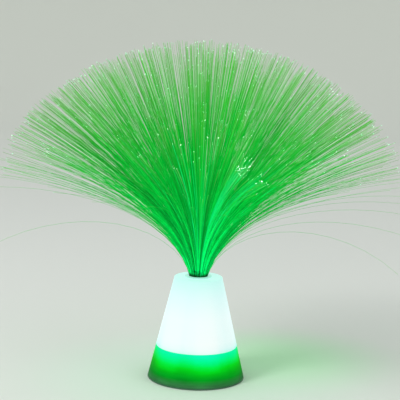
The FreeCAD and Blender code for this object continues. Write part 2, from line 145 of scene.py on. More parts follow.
def ramp(tree, value, stops):
    node = addNode(tree, "ValToRGB", {0: value})
    band = node.color_ramp
    band.elements[0].position, band.elements[0].color = stops[0][0], (*stops[0][1], 1)
    band.elements[1].position, band.elements[1].color = stops[-1][0], (*stops[-1][1], 1)
    for place, color in stops[1:-1]:
        band.elements.new(place).color = (*color, 1)
    return node.outputs["Color"]


def noise(tree, scale, detail=2.0, stretch=None):
    place = objectPlace(tree)
    if stretch:
        place = addNode(tree, "Mapping", {"Vector": place, "Scale": stretch}).outputs[0]
    return addNode(tree, "TexNoise", {"Vector": place, "Scale": scale, "Detail": detail}).outputs["Fac"]


def mixColor(tree, amount, a, b):
    inputs = {0: amount, 6: a if isinstance(a, bpy.types.NodeSocket) else (*a, 1)}
    inputs[7] = b if isinstance(b, bpy.types.NodeSocket) else (*b, 1)
    return addNode(tree, "Mix", inputs, data_type="RGBA").outputs[2]


def scaleColor(tree, color, amount):
    return addNode(tree, "VectorMath", {0: color, "Scale": amount}, operation="SCALE").outputs[0]


def attribute(tree, name):
    return addNode(tree, "Attribute", attribute_name=name).outputs["Fac"]


def bump(tree, shader, height, depth, strength):
    node = addNode(tree, "Bump", {"Height": height, "Distance": depth, "Strength": strength})
    tree.links.new(node.outputs[0], shader.inputs["Normal"])


def dress(names, material):
    for name in names:
        data = nodes[name].data
        data.materials.clear()
        data.materials.append(material)


# moulded plastic, rubber, metal and board materials for the pieces below and inside


mouldedLook = {
    "specular": 0.45,
    "clouds": (60, 3),  # scale and detail of the noise, here and below
    "paler": (1.35, 0.004),  # a cloud's colour is the plain one times this, plus this
    "roughness": (-0.06, 0.1),  # how far it strays down and up
    "grain": (2600, 1),
    "grainStrength": 0.4,
}


def mouldedPlastic(name, color, rough=0.42, grainDepth=0.12):
    look = mouldedLook
    material, tree, shader = newMaterial(name, rough=rough, specular=look["specular"])
    cloud = noise(tree, *look["clouds"])
    gain, lift = look["paler"]
    feed(tree, shader, "color", mixColor(tree, cloud, color, tuple(c * gain + lift for c in color)))
    smoother, rougher = look["roughness"]
    feed(tree, shader, "rough", between(tree, cloud, rough + smoother, rough + rougher))
    bump(tree, shader, noise(tree, *look["grain"]), grainDepth * mm, look["grainStrength"])
    return material


padLook = {
    "color": (0.03, 0.03, 0.03),
    "dustColor": (0.16, 0.16, 0.15),
    "dust": (220, 4),
    "dusty": (0.45, 0.75),  # the noise's values where dust starts and where it covers
    "roughness": (0.0, 1.2),
    "grain": (1800, 2),
    "grainDepth": 0.1 * mm,
    "grainStrength": 0.5,
}


def padRubber():
    look = padLook
    material, tree, shader = newMaterial("padRubber", specular=0.3)
    dust = noise(tree, *look["dust"])
    dusty = share(tree, dust, *look["dusty"])
    feed(tree, shader, "color", mixColor(tree, dusty, look["color"], look["dustColor"]))
    feed(tree, shader, "rough", share(tree, dust, *look["roughness"]))
    bump(tree, shader, noise(tree, *look["grain"]), look["grainDepth"], look["grainStrength"])
    return material


metalLook = {
    "grain": (160, 4),
    "stretch": (1, 1, 14),  # drawn out along the height
    "darker": 0.8,
    "roughness": (-0.1, 0.16),
    "grainDepth": 0.03 * mm,
    "grainStrength": 0.3,
}


def plainMetal(name, color, rough):
    look = metalLook
    material, tree, shader = newMaterial(name, metal=1.0)
    grain = noise(tree, *look["grain"], stretch=look["stretch"])
    feed(tree, shader, "color", mixColor(tree, grain, tuple(c * look["darker"] for c in color), color))
    smoother, rougher = look["roughness"]
    feed(tree, shader, "rough", between(tree, grain, rough + smoother, rough + rougher))
    bump(tree, shader, grain, look["grainDepth"], look["grainStrength"])
    return material


boardLook = {
    "weave": 260.0,
    "gap": 0.06,
    "colors": ((0.012, 0.16, 0.05, 1), (0.016, 0.19, 0.06, 1)),
    "gapColor": (0.03, 0.27, 0.10, 1),
    "depth": 0.04 * mm,
    "strength": 0.4,
}


def boardResin():
    look = boardLook
    material, tree, shader = newMaterial("solderMask", rough=0.3, coat=0.4)
    weave = addNode(tree, "TexBrick", {
        "Vector": objectPlace(tree), "Scale": look["weave"], "Mortar Size": look["gap"],
        "Color1": look["colors"][0], "Color2": look["colors"][1], "Mortar": look["gapColor"],
    })
    feed(tree, shader, "color", weave.outputs["Color"])
    bump(tree, shader, weave.outputs["Fac"], look["depth"], look["strength"])
    return material


cellLook = {
    "bandMiddle": 0.012,  # metres along X
    "wrapReach": (0.0, 0.03),  # the stops below run over this distance from there
    "wrap": [(0.0, (0.62, 0.64, 0.66)), (0.11, (0.62, 0.64, 0.66)),
             (0.12, (0.03, 0.05, 0.09)), (1.0, (0.04, 0.06, 0.11))],
    "streak": (90, 3),
    "stretch": (0.2, 1, 1),
    "streakColor": (0.12, 0.15, 0.2),
    "roughness": (-0.6, 1.8),
}


def cellFilm():
    look = cellLook
    material, tree, shader = newMaterial("cellFilm", metal=0.6, coat=0.6, coatRough=0.12)
    off = math2(tree, "ABSOLUTE", math2(tree, "SUBTRACT", axisOf(tree, 0), look["bandMiddle"]))
    wrap = ramp(tree, share(tree, off, *look["wrapReach"]), look["wrap"])
    streak = noise(tree, *look["streak"], stretch=look["stretch"])
    feed(tree, shader, "color", mixColor(tree, streak, wrap, look["streakColor"]))
    feed(tree, shader, "rough", share(tree, streak, *look["roughness"]))
    return material


leadLook = {
    "skin": (500, 2),
    "paler": (1.5, 0.01),
    "roughness": (-0.7, 1.4),
}


def insulation(name, color):
    look = leadLook
    material, tree, shader = newMaterial(name, specular=0.4, sheen=0.1)
    skin = noise(tree, *look["skin"])
    gain, lift = look["paler"]
    feed(tree, shader, "color", mixColor(tree, skin, color, tuple(min(1, c * gain + lift) for c in color)))
    feed(tree, shader, "rough", share(tree, skin, *look["roughness"]))
    return material


ledLook = {
    "depth": (320, 2),
    "resin": ((0.75, 0.95, 0.8), (0.4, 0.9, 0.55)),
    "light": ((0.3, 1.0, 0.5), (0.7, 1.0, 0.85)),
}


def litResin():
    material, tree, shader = newMaterial("litResin", rough=0.12, coat=0.8, glowPower=1.0)
    depth = noise(tree, *ledLook["depth"])
    feed(tree, shader, "color", mixColor(tree, depth, *ledLook["resin"]))
    feed(tree, shader, "glow", mixColor(tree, depth, *ledLook["light"]))
    return material


insideColors = {
    "underside": (0.03, 0.12, 0.055),
    "door": (0.033, 0.13, 0.06),
    "contacts": (0.72, 0.7, 0.66),
    "chips": (0.015, 0.015, 0.016),
    "switchCase": (0.6, 0.6, 0.58),
    "slider": (0.02, 0.02, 0.021),
    "redLead": (0.45, 0.02, 0.015),
    "blackLead": (0.02, 0.02, 0.02),
}


def dressInside():
    colors = insideColors
    dress(["base_plate"], mouldedPlastic("mouldedUnderside", colors["underside"]))
    dress(["battery_door"], mouldedPlastic("mouldedDoor", colors["door"], rough=0.38))
    dress(["foot_pads"], padRubber())
    dress(["battery_front", "battery_middle", "battery_back"], cellFilm())
    contacts = ["contact_positive", "contact_negative", "contact_bridge_right", "contact_bridge_left"]
    dress(contacts + ["contact_springs"], plainMetal("nickel", colors["contacts"], rough=0.22))
    dress(["led_board"], boardResin())
    dress(["centre_led", "side_leds"], litResin())
    chips = mouldedPlastic("chipBody", colors["chips"], rough=0.5, grainDepth=0.05)
    dress(["controller_chip", "board_resistors"], chips)
    dress(["switch_body"], plainMetal("tinnedCase", colors["switchCase"], rough=0.3))
    dress(["switch_knob"], mouldedPlastic("sliderPlastic", colors["slider"], rough=0.45))
    dress(["wire_positive", "wire_switched"], insulation("redLead", colors["redLead"]))
    dress(["wire_negative"], insulation("blackLead", colors["blackLead"]))


# meshes turned from outlines


def arcPoints(centre, radius, start, end, count):
    turns = [math.radians(start + (end - start) * i / count) for i in range(count + 1)]
    return [(centre[0] + radius * math.cos(t), centre[1] + radius * math.sin(t)) for t in turns]


def lathe(name, outline, steps, closed=True):
    # outline: list of (radius, height), up the outside; an open one gets a face over its first ring
    count = len(outline)
    turns = np.arange(steps) * 2 * math.pi / steps
    rings = np.array(outline)
    x = rings[:, :1] * np.cos(turns)
    y = rings[:, :1] * np.sin(turns)
    z = np.repeat(rings[:, 1:], steps, axis=1)
    points = np.stack([x, y, z], axis=2).reshape(-1, 3)
    faces = [] if closed else [tuple(range(steps))]
    for i in range(count if closed else count - 1):
        j = (i + 1) % count
        for k in range(steps):
            m = (k + 1) % steps
            faces.append((i * steps + k, i * steps + m, j * steps + m, j * steps + k))
    return meshPiece(name, points, faces)


def meshPiece(name, points, faces, smooth=True):
    data = bpy.data.meshes.new(name)
    data.from_pydata([tuple(p) for p in points], [], faces)
    data.validate()
    data.polygons.foreach_set("use_smooth", [smooth] * len(data.polygons))
    piece = bpy.data.objects.new(name, data)
    bpy.context.scene.collection.objects.link(piece)
    return piece


# the lit cone: diffuser above, green band below


coneLook = {
    "steps": 160,  # round the axis
    "taper": 0.24,  # radius lost for each unit of height
    "seamRound": 0.25 * mm,
    # lit patches round the cone: angle from the front, power, half width in degrees
    "lobes": ((-40, 0.88, 37), (14, 1.05, 36), (60, 0.6, 26), (110, 0.65, 30), (158, 0.75, 33),
              (-152, 0.95, 36), (-108, 0.6, 30)),
}


def coneSizes():
    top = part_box("diffuser_cone")[1].z
    bandLow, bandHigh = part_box("green_band")
    foot = bandHigh.x + coneLook["taper"] * bandLow.z
    return {"top": top, "bandFoot": bandLow.z, "seam": bandHigh.z, "foot": foot}


def coneRadius(z):
    return coneSize["foot"] - coneLook["taper"] * z


def lobeField(tree):
    # sum of the soft patches of light round the axis
    flat = vectorMath(tree, "MULTIPLY", objectPlace(tree), (1, 1, 0))["Vector"]
    around = vectorMath(tree, "NORMALIZE", flat)["Vector"]
    total = None
    for angle, power, width in coneLook["lobes"]:
        t = math.radians(angle)
        towards = vectorMath(tree, "DOT_PRODUCT", around, (math.sin(t), -math.cos(t), 0))["Value"]
        part = times(tree, share(tree, towards, math.cos(math.radians(width)), 1.0, True), power)
        total = part if total is None else plus(tree, total, part)
    return total


diffuserLook = {
    "edgeRound": 1.3 * mm,  # the shoulder
    "edgeSteps": 8,
    "wall": 1.8 * mm,
    "roof": 2.4 * mm,
    "roofCorner": (3 * mm, 1.2 * mm),  # where the roof meets the wall inside: in from outside, and down
    "tubeFoot": 40.0 * mm,  # the socket's tube ends at this height
    "bore": 9.55 * mm,
    "boreEdge": 0.4 * mm,
    "tube": 10.65 * mm,
    "tubeCorner": 1 * mm,
    "ledge": 6 * mm,  # the flat top's inner part
    "rings": 24,
    # the side's rings keep off the seam by so many seam rounds, and off the top by so many edge rounds
    "sideMargins": (4, 2.2),
    # colours by height, from the seam to the top
    "skin": [(0.0, (0.16, 0.24, 0.23)), (1.0, (0.16, 0.26, 0.24))],
    "light": [(0.0, (0.30, 0.74, 0.66)), (0.06, (0.55, 0.75, 0.74)), (0.14, (0.64, 0.77, 0.77)),
              (0.45, (0.68, 0.78, 0.79)), (0.75, (0.58, 0.76, 0.77)), (1.0, (0.45, 0.75, 0.71))],
    "whiter": (0.86, 0.77, 0.78),
    "whiterLobes": (0.4, 1.1),  # lobe strength where that starts and where it is full
    "whiterHeight": (0.98, 0.12),  # the same by height
    "whiterShare": 0.65,
    "grain": (1400, 2),
    "grainDepth": 0.05 * mm,
    "grainStrength": 0.2,
}


def diffuserOutline():
    look = diffuserLook
    top, seam = coneSize["top"], coneSize["seam"]
    bore, tube, step = look["bore"], look["tube"], look["tubeCorner"]
    r, s, cut = look["edgeRound"], coneLook["seamRound"], look["boreEdge"]
    lean = math.degrees(math.atan(coneLook["taper"]))
    corner = (coneRadius(top - r) - r * math.cos(math.radians(lean)), top - r)
    roof = top - look["roof"]
    roofIn, roofDown = look["roofCorner"]
    lowMargin, highMargin = look["sideMargins"]
    side = np.linspace(seam + lowMargin * s, top - highMargin * r, look["rings"])
    outline = [(coneRadius(seam) - look["wall"], seam), (coneRadius(seam) - s, seam)]
    outline += [(coneRadius(seam + s), seam + s)]
    outline += [(coneRadius(z), z) for z in side]
    outline += arcPoints(corner, r, lean, 90, look["edgeSteps"])
    outline += [(bore + look["ledge"], top), (bore + cut, top), (bore, top - cut)]
    outline += [(bore, look["tubeFoot"]), (tube, look["tubeFoot"]), (tube, roof - step), (tube + step, roof)]
    return outline + [(coneRadius(roof) - roofIn, roof), (coneRadius(roof) - look["wall"], roof - roofDown)]


def milkDiffuser():
    look = diffuserLook
    material, tree, shader = newMaterial("milkDiffuser", rough=0.38, specular=0.15, glowPower=1.0)
    up = share(tree, axisOf(tree, 2), coneSize["seam"], coneSize["top"])
    skin = ramp(tree, up, look["skin"])
    light = ramp(tree, up, look["light"])
    patches = share(tree, lobeField(tree), *look["whiterLobes"])
    white = times(tree, patches, share(tree, up, *look["whiterHeight"]))
    feed(tree, shader, "color", skin)
    feed(tree, shader, "glow", mixColor(tree, times(tree, white, look["whiterShare"]), light, look["whiter"]))
    bump(tree, shader, noise(tree, *look["grain"]), look["grainDepth"], look["grainStrength"])
    return material


def makeDiffuser():
    piece = lathe("lit_cone", diffuserOutline(), coneLook["steps"])
    piece.data.materials.append(milkDiffuser())
    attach(piece, "base")
    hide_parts("diffuser_cone")


bandLook = {
    "wall": 2.0 * mm,
    "rings": 18,
    "sideMargin": 3,  # in seam rounds, as above
    # by height, from the floor to the seam
    "skin": [(0.0, (0.05, 0.19, 0.075)), (0.13, (0.03, 0.15, 0.05)), (0.28, (0.0, 0.10, 0.012)),
             (1.0, (0.0, 0.10, 0.006))],
    # by the level of the light, which is the height and what the lobes and the noise add to it
    "light": [(0.06, (0.0, 0.01, 0.0)), (0.2, (0.0, 0.11, 0.002)), (0.32, (0.0, 0.22, 0.002)),
              (0.44, (0.0, 0.31, 0.0)), (0.53, (0.0, 0.42, 0.0)), (0.62, (0.0, 0.60, 0.005)),
              (0.72, (0.0, 0.77, 0.05)), (0.84, (0.0, 0.86, 0.23)), (1.0, (0.005, 0.88, 0.5))],
    "lobeRise": 0.25,  # how much higher up the band a full lobe reads
    "riseFrom": (0.12, 0.48),
    "wander": (45, 3),
    "wanderRise": 0.2,
    "levelShare": 0.80,
    "seamColor": (0.0, 0.85, 0.42),  # the diffuser's light spills over the seam
    "seamFrom": (0.62, 1.0),
    "seamShare": 0.36,
    "streak": (70, 4),
    "stretch": (1, 1, 5),
    "streakLift": 0.55,
    "grain": (900, 2),
    "grainDepth": 0.05 * mm,
    "grainStrength": 0.2,
}


def bandOutline():
    foot, seam = coneSize["bandFoot"], coneSize["seam"]
    s, wall = coneLook["seamRound"], bandLook["wall"]
    margin = bandLook["sideMargin"] * s
    side = np.linspace(foot + margin, seam - margin, bandLook["rings"])
    outline = [(coneRadius(foot) - wall, foot), (coneRadius(foot) - s, foot)]
    outline += [(coneRadius(foot + s), foot + s)]
    outline += [(coneRadius(z), z) for z in side]
    outline += [(coneRadius(seam - s), seam - s), (coneRadius(seam) - s, seam)]
    return outline + [(coneRadius(seam) - wall, seam)]


def litGreen():
    look = bandLook
    material, tree, shader = newMaterial("litGreen", rough=0.5, specular=0.02, glowPower=1.0)
    up = share(tree, axisOf(tree, 2), 0.0, coneSize["seam"])
    lobes = lobeField(tree)
    wander = noise(tree, *look["wander"])
    rise = times(tree, share(tree, up, *look["riseFrom"]), look["lobeRise"])
    level = plus(tree, up, times(tree, lobes, rise))
    level = plus(tree, level, times(tree, math2(tree, "SUBTRACT", wander, 0.5), look["wanderRise"]))
    level = times(tree, level, look["levelShare"])
    skin = ramp(tree, up, look["skin"])
    light = ramp(tree, level, look["light"])
    spill = times(tree, share(tree, up, *look["seamFrom"]), look["seamShare"])
    streak = noise(tree, *look["streak"], stretch=look["stretch"])
    feed(tree, shader, "color", scaleColor(tree, skin, plus(tree, streak, look["streakLift"])))
    feed(tree, shader, "glow", mixColor(tree, spill, light, look["seamColor"]))
    bump(tree, shader, noise(tree, *look["grain"]), look["grainDepth"], look["grainStrength"])
    return material


def makeBand():
    piece = lathe("lit_band", bandOutline(), coneLook["steps"])
    piece.data.materials.append(litGreen())
    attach(piece, "base")
    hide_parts("green_band")


# cross-head case screws, heads down


screwLook = {
    "color": (0.6, 0.61, 0.6),
    "rough": 0.28,
    "headRadius": 2.7 * mm,
    "headHeight": 1.1 * mm,
    "edgeRound": 0.35 * mm,
    "edgeSteps": 5,
    "shankRadius": 1.2 * mm,
    "threadDepth": 0.18 * mm,
    "threadPitch": 0.9 * mm,
    "core": 0.05 * mm,  # the ends close on a dot this size
    "steps": 40,
    # the cross: reach, half width and height of each blade's outer and inner end
    "recess": ((1.6 * mm, 0.42 * mm, -0.1 * mm), (0.7 * mm, 0.2 * mm, 0.8 * mm)),
    "recessTurns": (20, 110),
    "sharpFrom": 30,  # degrees between faces that keep a sharp edge
}


def makeScrews():
    # one at each end of the frame's pair
    look = screwLook
    low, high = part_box("case_screws")
    length, seat, pitch = high.z - low.z, look["headHeight"], look["threadPitch"]
    radius, shank, edge = look["headRadius"], look["shankRadius"], look["edgeRound"]
    root = shank - look["threadDepth"]
    outline = [(look["core"], 0)]
    outline += arcPoints((radius - edge, edge), edge, -90, 0, look["edgeSteps"]) + [(radius, seat)]
    for foot in np.arange(seat, length - pitch, pitch):
        outline += [(root, foot), (shank, foot + pitch / 2)]
    outline += [(root, length), (look["core"], length)]
    metal = plainMetal("zincSteel", look["color"], look["rough"])
    places = {
        "screw_left": (low.x + radius, high.y - radius),
        "screw_right": (high.x - radius, low.y + radius),
    }
    for name, (x, y) in places.items():
        screw = lathe(name, outline, look["steps"])
        for turn in look["recessTurns"]:
            cutCross(screw, turn)
        screw.data.set_sharp_from_angle(angle=math.radians(look["sharpFrom"]))
        screw.data.transform(Matrix.Translation((x, y, low.z)))
        screw.data.materials.clear()
        screw.data.materials.append(metal)
        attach(screw, "base")
        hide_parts("case_screws")


def cutCross(screw, turn):
    # takes one tapered blade out of the head
    points = []
    for reach, half, z in screwLook["recess"]:
        points += [(reach, half, z), (-reach, half, z), (-reach, -half, z), (reach, -half, z)]
    faces = [(3, 2, 1, 0), (4, 5, 6, 7), (0, 1, 5, 4), (1, 2, 6, 5), (2, 3, 7, 6), (3, 0, 4, 7)]
    blade = meshPiece("blade", points, faces, smooth=False)
    blade.data.transform(Matrix.Rotation(math.radians(turn), 4, "Z"))
    cut = screw.modifiers.new("cross", "BOOLEAN")
    cut.object, cut.operation, cut.solver = blade, "DIFFERENCE", "EXACT"
    bpy.context.view_layer.update()
    shape = bpy.data.meshes.new_from_object(screw.evaluated_get(bpy.context.evaluated_depsgraph_get()))
    screw.modifiers.clear()
    screw.data = shape
    bpy.data.objects.remove(blade)


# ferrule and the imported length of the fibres


ferruleLook = {
    "change": (-4 * mm, 0.8 * mm),  # its colour changes between these heights, from the diffuser's top
    "plastic": ((0.3, 0.5, 0.42), (0.2, 0.36, 0.31)),
    "light": ((0.30, 0.66, 0.56), (0.36, 0.72, 0.62)),
    "cloud": 90,
}


def dressFerrule():
    look = ferruleLook
    material, tree, shader = newMaterial("ferrulePlastic", rough=0.3, specular=0.3, glowPower=0.8)
    low, high = look["change"]
    up = share(tree, axisOf(tree, 2), coneSize["top"] + low, coneSize["top"] + high)
    feed(tree, shader, "color", mixColor(tree, up, *look["plastic"]))
    feed(tree, shader, "glow", mixColor(tree, noise(tree, look["cloud"]), *look["light"]))
    dress(["spray_ferrule"], material)


bundleLook = {
    "cells": 2200.0,
    "color": ((0.0, 0.34, 0.08), (0.0, 0.02, 0.008)),  # middle and edge of a fibre; the dark edge is painted shade in the gaps between the packed fibres
    "light": ((0.02, 0.5, 0.12), (0.0, 0.01, 0.0)),
}


def dressBundle():
    look = bundleLook
    material, tree, shader = newMaterial("packedFibres", rough=0.2, specular=0.3, glowPower=0.5)
    cells = addNode(tree, "TexVoronoi", {"Vector": objectPlace(tree), "Scale": look["cells"]})
    # darker towards each cell's edge: painted shade between the packed fibres
    feed(tree, shader, "color", mixColor(tree, cells.outputs["Distance"], *look["color"]))
    feed(tree, shader, "glow", mixColor(tree, cells.outputs["Distance"], *look["light"]))
    dress(["fibre_bundle"], material)


# the spray: locks of fibres that leave the bundle together, bend outwards and part


sprayLook = {
    "seed": 7,
    "locks": 138,
    "perLock": 20,
    "length": 211 * mm,
    "lengthScatter": 0.011,  # how far lengths fall short of that, as a share
    "shortFibres": 0.12,  # share of the fibres that are clearly shorter
    "shortLengths": (0.72, 0.98),
    "thickness": 0.318 * mm,
    "thicknessRange": (0.9, 1.1),
    "taper": 0.3,  # share of its thickness that a fibre loses by its tip
    "bundleEdge": 0.35 * mm,  # roots keep this far inside the bundle's rim
    "rootWidth": 0.06,  # spread of the roots round their places, as a share of the bundle's radius
    "rootLeast": 0.02,
    "rootLean": 12.0,  # degrees, at the rim of the bundle
    "bendLean": 54.0,  # degrees that the bend adds
    "bendLength": 55 * mm,
    "droop": 3.0,  # degrees, at the tip of an outermost fibre
    # leans below are shares of an outermost fibre's lean
    "reach": 0.97,  # of the outermost locks
    "lockTurn": 137.50776,  # degrees from one lock to the next
    "lockTurnScatter": 0.07,
    "lockWidth": (0.01, 0.055),  # spread of a lock's fibres
    "loose": 0.4,  # share of the fibres that stay out of their lock
    "looseWidth": 0.08,
    "edge": 0.9,  # past this lean the fibres thin out
    "edgeScatter": 0.055,  # and are scattered further by so much
    "edgeInwards": 0.45,  # share of them that lean inside it instead
    "inwardsFrom": 0.2,  # and so, from this lean to the edge
    "farthest": 1.16,  # what would lean further goes back inside
    "backFrom": 0.5,
    # the locks up to these shares, from the middle out, stand for the inner and the middle strands
    "groups": (0.26, 0.6),
    "steps": 15,  # rings along a fibre, with one more for its cut end
    "stepGrowth": 1.25,  # above 1, the rings stand closer at the root
    "fineSteps": 6,  # each step's bend is summed in so many parts
    "sides": 4,
    "tip": 0.6 * mm,  # the cut end that lights up
    "litSides": 0.32,  # share of the fibres whose last bit lights up all round
}


def fibrePaths(rootRadius, angle, lean, droop, length):
    # centre lines, one row per fibre, from each fibre's own numbers
    look = sprayLook
    steps, fine, whole, bend = look["steps"], look["fineSteps"], look["length"], look["bendLength"]
    t = np.append(np.linspace(0, 1 - look["tip"] / whole, steps) ** look["stepGrowth"], 1.0)
    s = length[:, None] * t
    r = np.repeat(rootRadius[:, None], steps + 1, axis=1)
    z = np.zeros_like(r)
    for i in range(steps):
        for k in range(fine):
            ds = (s[:, i + 1] - s[:, i]) / fine
            mid = s[:, i] + (k + 0.5) * ds
            bent = lean * (look["rootLean"] + look["bendLean"] * (1 - np.exp(-mid / bend)))
            tilt = np.radians(bent + droop * (mid / whole) ** 2)
            r[:, i + 1:] += (np.sin(tilt) * ds)[:, None]
            z[:, i + 1:] += (np.cos(tilt) * ds)[:, None]
    x = r * np.cos(angle)[:, None]
    y = r * np.sin(angle)[:, None]
    return np.stack([x, y, z + sprayRoot], axis=2), t


def tubePoints(paths, along, thickness):
    sides = sprayLook["sides"]
    ahead = np.gradient(paths, axis=1)
    ahead /= np.linalg.norm(ahead, axis=2, keepdims=True)
    side = np.cross(ahead, np.array([0.0, 0.0, 1.0]) + 1e-4)  # just off upright, so that it never vanishes
    side /= np.linalg.norm(side, axis=2, keepdims=True)
    out = np.cross(ahead, side)
    turns = np.arange(sides) * 2 * math.pi / sides
    girth = 0.5 * (1 - sprayLook["taper"] * along)
    ring = (side[:, :, None] * np.cos(turns)[:, None] + out[:, :, None] * np.sin(turns)[:, None])
    points = paths[:, :, None] + ring * (thickness[:, None, None, None] * girth[None, :, None, None])
    return points.reshape(-1, 3)


def tubeMesh(name, paths, along, thickness, tone, glow):
    # thin tubes round the paths, closed at both ends, with the fibre's own numbers as attributes
    count, rings = paths.shape[:2]
    sides = sprayLook["sides"]
    block = rings * sides
    quads = []
    for i in range(rings - 1):
        for k in range(sides):
            m = (k + 1) % sides
            quads.append((i * sides + k, i * sides + m, (i + 1) * sides + m, (i + 1) * sides + k))
    quads = np.array(quads)
    starts = np.arange(count) * block
    allQuads = (starts[:, None, None] + quads).reshape(-1, 4)
    caps = [list(range(sides))[::-1], [(rings - 1) * sides + k for k in range(sides)]]
    capFaces = (starts[:, None, None] + np.array(caps)).reshape(-1, sides)
    data = bpy.data.meshes.new(name)
    data.from_pydata(tubePoints(paths, along, thickness).tolist(), [], allQuads.tolist() + capFaces.tolist())
    # material by face: 0 the fibre, 1 its cut end, 2 the sides of its last bit
    finish = np.zeros(len(allQuads) + len(capFaces), np.int32)
    lastQuads = np.arange(len(quads)) >= len(quads) - sides
    litSides = (tone * 97) % 1 < sprayLook["litSides"]  # the factor only shuffles the tones
    finish[:len(allQuads)] = (litSides[:, None] & lastQuads).ravel() * 2
    finish[len(allQuads):] = np.tile([0, 1], count)
    data.polygons.foreach_set("material_index", finish)
    smooth = np.ones(len(finish), bool)
    smooth[len(allQuads):] = False
    data.polygons.foreach_set("use_smooth", smooth)
    numbers = {"along": np.tile(np.repeat(along, sides), count), "tone": np.repeat(tone, block),
               "glow": np.repeat(glow, block)}
    for key, values in numbers.items():
        data.attributes.new(key, "FLOAT", "POINT").data.foreach_set("value", values.astype(np.float32))
    piece = bpy.data.objects.new(name, data)
    bpy.context.scene.collection.objects.link(piece)
    return piece


fibreLook = {
    "fresh": (2.0, 2.4),  # light from which a fibre is bluer all the way
    "freshSkin": (0.0, 0.18, 0.03),
    "freshLight": (0.0, 0.21, 0.045),
    "freshFrom": (0.006, 0.02),  # along the fibre
    "freshEvening": 0.7,  # such fibres take so much less part in the evening below
    # colours along the fibre, darker towards the root; the first stops paint a shadow ring at the fibres'
    # foot
    "skin": [(0.0, (0.01, 0.08, 0.02)), (0.009, (0.01, 0.09, 0.02)), (0.018, (0.0, 0.12, 0.02)),
             (0.4, (0.0, 0.21, 0.02)), (0.75, (0.01, 0.28, 0.025)), (1.0, (0.14, 0.38, 0.075))],
    # its dark start at the root is part of the painted shadow ring
    "light": [(0.0, (0.0, 0.0, 0.0)), (0.010, (0.0, 0.07, 0.015)), (0.022, (0.0, 0.64, 0.10)),
              (0.12, (0.0, 0.46, 0.055)), (0.35, (0.0, 0.38, 0.035)),
              (0.7, (0.0, 0.29, 0.015)), (1.0, (0.01, 0.24, 0.006))],
    "pale": (0.5, 0.6, 0.46),
    "paleTones": (0.82, 1.0),
    "paleFrom": (0.55, 1.0),
    "rootShadowPatches": 170,  # the painted shadow ring at the root is uneven
    "rootShadowUneven": (0.15, 0.5),
    "evenFrom": (0.1, 0.7),  # fibres differ less towards their tips
    "evenShare": 0.75,
    "evenPower": 0.35,
}


def litFibre():
    look = fibreLook
    material, tree, shader = newMaterial("litFibre", rough=0.4, specular=0.05, glowPower=1.0)
    along = attribute(tree, "along")
    tone = attribute(tree, "tone")
    glow = attribute(tree, "glow")
    fresh = share(tree, glow, *look["fresh"])
    skin = ramp(tree, along, look["skin"])
    pale = times(tree, share(tree, tone, *look["paleTones"]), share(tree, along, *look["paleFrom"]))
    skin = mixColor(tree, fresh, mixColor(tree, pale, skin, look["pale"]), look["freshSkin"])
    feed(tree, shader, "color", skin)
    # the painted shadow ring reaches unevenly far up the fibres
    uneven = times(tree, along, share(tree, noise(tree, look["rootShadowPatches"]), *look["rootShadowUneven"]))
    light = ramp(tree, uneven, look["light"])
    blue = times(tree, fresh, share(tree, along, *look["freshFrom"]))
    light = mixColor(tree, blue, light, look["freshLight"])
    even = times(tree, share(tree, along, *look["evenFrom"]), look["evenShare"])
    even = times(tree, even, math2(tree, "SUBTRACT", 1.0, times(tree, fresh, look["freshEvening"])))
    own = times(tree, glow, math2(tree, "SUBTRACT", 1.0, even))
    common = times(tree, math2(tree, "POWER", glow, look["evenPower"]), even)
    feed(tree, shader, "glow", scaleColor(tree, light, plus(tree, own, common)))
    return material


tipLook = {
    "cutEnd": 3.8,  # power
    "glowingEnd": 1.3,
    "light": ((0.05, 0.75, 0.3), (0.4, 1.0, 0.65)),
    "white": (0.9, 1.0, 0.9),
    "whiter": (1.3, 2.6),  # light from which a tip starts to whiten, and where it is white
    "least": 0.3,
    "skin": ((0.1, 0.5, 0.2), (0.5, 0.8, 0.6)),
}


def tipFinish(name):
    look = tipLook
    material, tree, shader = newMaterial(name, rough=0.2, glowPower=look[name])
    tone = attribute(tree, "tone")
    glow = attribute(tree, "glow")
    light = mixColor(tree, tone, *look["light"])
    light = mixColor(tree, share(tree, glow, *look["whiter"]), light, look["white"])
    feed(tree, shader, "glow", scaleColor(tree, light, plus(tree, glow, look["least"])))
    feed(tree, shader, "color", mixColor(tree, tone, *look["skin"]))
    return material


sprayLight = {
    "lock": (-0.08, 0.46),  # middle and spread of a lock's light, as a logarithm
    "fibre": (-0.3, 0.85),
    "most": 2.0,
    "streaks": (80, 0.62),  # brighter and darker ones round the throat: how many, how much they differ
    "streakFade": (2, 0.7),  # they come in with the lean: slope and start
    "bright": ((-62, 9, 0.5), (-108, 15, -0.6), (-140, 9, 0.6), (-172, 18, -0.4)),  # angle, width, change
    "brightFade": (2, 0.9),
}


def fadeIn(value, slope, start):
    return np.clip(value * slope - start, 0, 1)


def brightLocks(lockShare, lockAngle):
    # a few outer locks at the front carry more of the light, and those between them less
    degrees = np.degrees(lockAngle)
    power = np.ones(len(lockShare))
    for towards, width, change in sprayLight["bright"]:
        off = (degrees - towards + 180) % 360 - 180
        power += change * np.exp(-(off / width) ** 2) * fadeIn(lockShare, *sprayLight["brightFade"])
    return power


def throatStreaks(ownShare, ownAngle):
    rng = np.random.default_rng(sprayLook["seed"] + 2)
    count, strength = sprayLight["streaks"]
    places = np.arange(count) * 360 / count
    change = np.interp(np.degrees(ownAngle), places, rng.normal(0, strength, count), period=360)
    return np.exp(change * fadeIn(ownShare, *sprayLight["streakFade"]))


